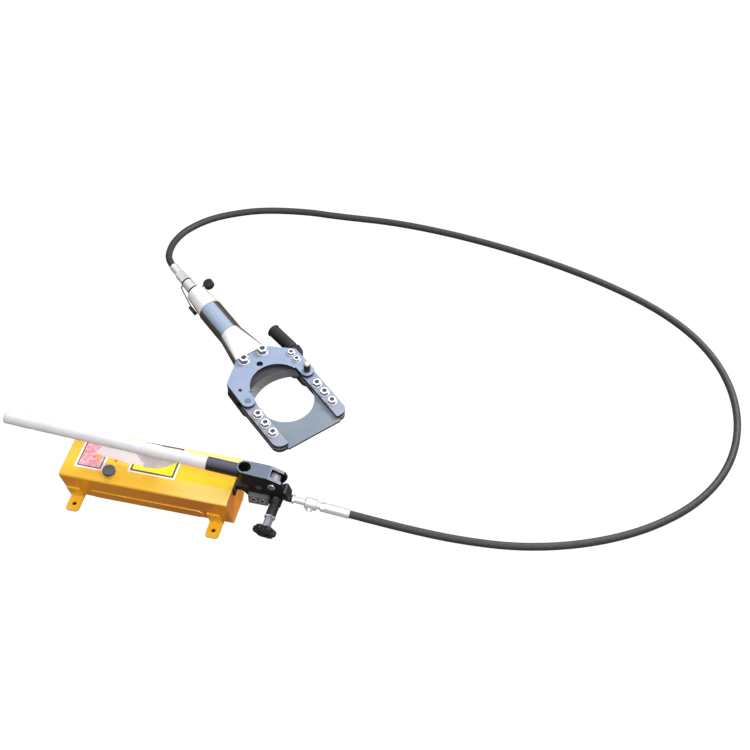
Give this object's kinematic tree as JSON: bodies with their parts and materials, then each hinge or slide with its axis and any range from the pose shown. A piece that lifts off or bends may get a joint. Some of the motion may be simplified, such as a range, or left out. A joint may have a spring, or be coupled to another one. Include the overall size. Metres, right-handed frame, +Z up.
{
  "type": "hydraulic cable cutter",
  "caption": "Hydraulic cable cutter: a split cutting head with a hinged gate and a round ram blade, joined by a high-pressure hose to a lever hand pump on a yellow oil tank.",
  "frame": {"origin": "centre of the four foot holes of the pump, on the floor", "axes": "+X along the tank towards the pump head and hose outlet, +Z up, +Y towards the cutting head"},
  "size_m": [1.4134, 0.9818, 0.1808],
  "materials": {
    "tank_paint": "glossy yellow enamel over a pressed sheet tank",
    "foot_paint": "glossy yellow enamel",
    "rivet_zinc": "bright zinc rivet heads",
    "cap_plastic": "grey moulded plastic with a fine grain",
    "black_casting": "black paint over a slightly rough casting",
    "block_grey": "grey phosphated steel block",
    "steel_pin": "ground steel",
    "chrome": "polished hard chrome",
    "lever_black": "black enamel on a forged lever",
    "sleeve_black": "black plastic sleeve",
    "handle_steel": "drawn steel tube",
    "film_white": "white foam packing film wound in turns",
    "knob_black": "black moulded knob with a soft sheen",
    "fitting_zinc": "bright zinc-plated turned steel",
    "hose_rubber": "black hose cover, cloth-marked rubber",
    "cap_rubber": "soft black rubber",
    "cylinder_nickel": "bright nickel plate",
    "barrel_chrome": "mirror chrome tube",
    "inner_steel": "machined steel",
    "seal_rubber": "brown seal rubber",
    "spring_steel": "oiled spring wire",
    "frame_zinc": "blue zinc plate, slightly cloudy",
    "bolt_zinc": "bright zinc",
    "guide_steel": "blackened steel",
    "blade_steel": "ground tool steel with a polished bevel",
    "fixed_blade_steel": "hardened tool steel, darker",
    "bar_zinc": "grey-lilac zinc plate",
    "grip_rubber": "black ribbed rubber",
    "grip_steel": "black painted steel"
  },
  "bodies": {
    "pump": {"tank_shell": "tank_paint", "tank_end_rear": "tank_paint", "tank_end_front": "tank_paint", "foot_brackets": "foot_paint", "foot_rivets": "rivet_zinc", "filler_boss": "tank_paint", "pump_body": "black_casting", "valve_block": "block_grey", "block_screws": "steel_pin", "plunger_gland": "steel_pin", "link_foot_pin": "steel_pin", "suction_tube": "inner_steel", "release_housing": "black_casting", "release_nut": "chrome", "outlet_adapter": "fitting_zinc", "coupler_core": "fitting_zinc", "hose_nuts": "fitting_zinc", "hose_ferrules": "fitting_zinc", "hose": "hose_rubber", "head_coupler": "fitting_zinc", "dust_caps": "cap_rubber", "cylinder_rear": "cylinder_nickel", "cylinder_barrel": "barrel_chrome", "front_block": "cylinder_nickel", "rod_gland": "inner_steel", "frame_plate_top": "frame_zinc", "frame_plate_bottom": "frame_zinc", "rear_bolts": "bolt_zinc", "blade_guide": "guide_steel", "grip_bracket": "grip_steel", "grip_rubber": "grip_rubber", "grip_bolts": "bolt_zinc", "hinge_pin": "steel_pin"},
    "filler_cap": {"filler_cap": "cap_plastic"},
    "link": {"link": "black_casting"},
    "handle": {"lever_head": "lever_black", "handle_sleeve": "sleeve_black", "handle_tube": "handle_steel", "handle_wrap": "film_white", "handle_plug": "film_white", "plunger_pin": "lever_black", "fulcrum_pin": "chrome"},
    "plunger": {"plunger": "chrome"},
    "release": {"release_spindle": "chrome", "release_knob": "knob_black"},
    "pump_collar": {"coupler_collar": "fitting_zinc"},
    "head_collar": {"head_collar": "fitting_zinc"},
    "ram": {"ram_rod": "chrome", "piston": "inner_steel", "piston_seal": "seal_rubber", "blade_pin": "steel_pin", "moving_blade": "blade_steel", "return_spring": "spring_steel"},
    "gate": {"gate_bars_upper": "bar_zinc", "gate_bars_lower": "bar_zinc", "fixed_blade": "fixed_blade_steel", "gate_bolts": "bolt_zinc"},
    "latch": {"latch_pin": "chrome", "latch_grip": "knob_black"}
  },
  "joints": [
    {"name": "link_swing", "type": "hinge", "parent": "pump", "child": "link", "pos_m": [0.26275, 0, 0.086], "axis": [0, 1, 0], "range_deg": [-6.48, 0]},
    {"name": "handle_swing", "type": "hinge", "parent": "link", "child": "handle", "pos_m": [0.25725, 0, 0.1245], "axis": [0, 1, 0], "range_deg": [0, 60]},
    {"name": "plunger_slide", "type": "slide", "parent": "pump", "child": "plunger", "axis": [0, 0, 1], "range_m": [0, 0.02272]},
    {"name": "release_turn", "type": "hinge", "parent": "pump", "child": "release", "pos_m": [0.26065, -0.017, 0.07], "axis": [-0.0853, -0.9744, -0.2079], "range_deg": [0, 360]},
    {"name": "filler_turn", "type": "hinge", "parent": "pump", "child": "filler_cap", "pos_m": [-0.05975, -0.042, 0.11], "axis": [0, 0, 1], "range_deg": [0, 360]},
    {"name": "pump_collar_turn", "type": "hinge", "parent": "pump", "child": "pump_collar", "pos_m": [0.32944, 0, 0.07167], "axis": [0.9919, 0, -0.1271], "range_deg": [0, 360]},
    {"name": "head_collar_turn", "type": "hinge", "parent": "pump", "child": "head_collar", "pos_m": [-0.09433, 0.53697, 0.04693], "axis": [0.7511, -0.6575, -0.06], "range_deg": [0, 360]},
    {"name": "ram_slide", "type": "slide", "parent": "pump", "child": "ram", "axis": [0.7511, -0.6575, -0.06], "range_m": [0, 0.119], "stiffness_N_per_m": 400, "springref_m": -0.03, "deforming": ["return_spring"]},
    {"name": "gate_swing", "type": "hinge", "parent": "pump", "child": "gate", "pos_m": [0.12614, 0.24628, 0.02545], "axis": [-0.0451, 0.0395, -0.9982], "range_deg": [0, 80]},
    {"name": "latch_lift", "type": "slide", "parent": "pump", "child": "latch", "axis": [0.0451, -0.0395, 0.9982], "range_m": [0, 0.045]}
  ],
  "couplings": [
    {"joint": "link_swing", "follows": "handle_swing", "ratio": -0.108},
    {"joint": "plunger_slide", "follows": "handle_swing", "m_per_rad": 0.0217}
  ]
}
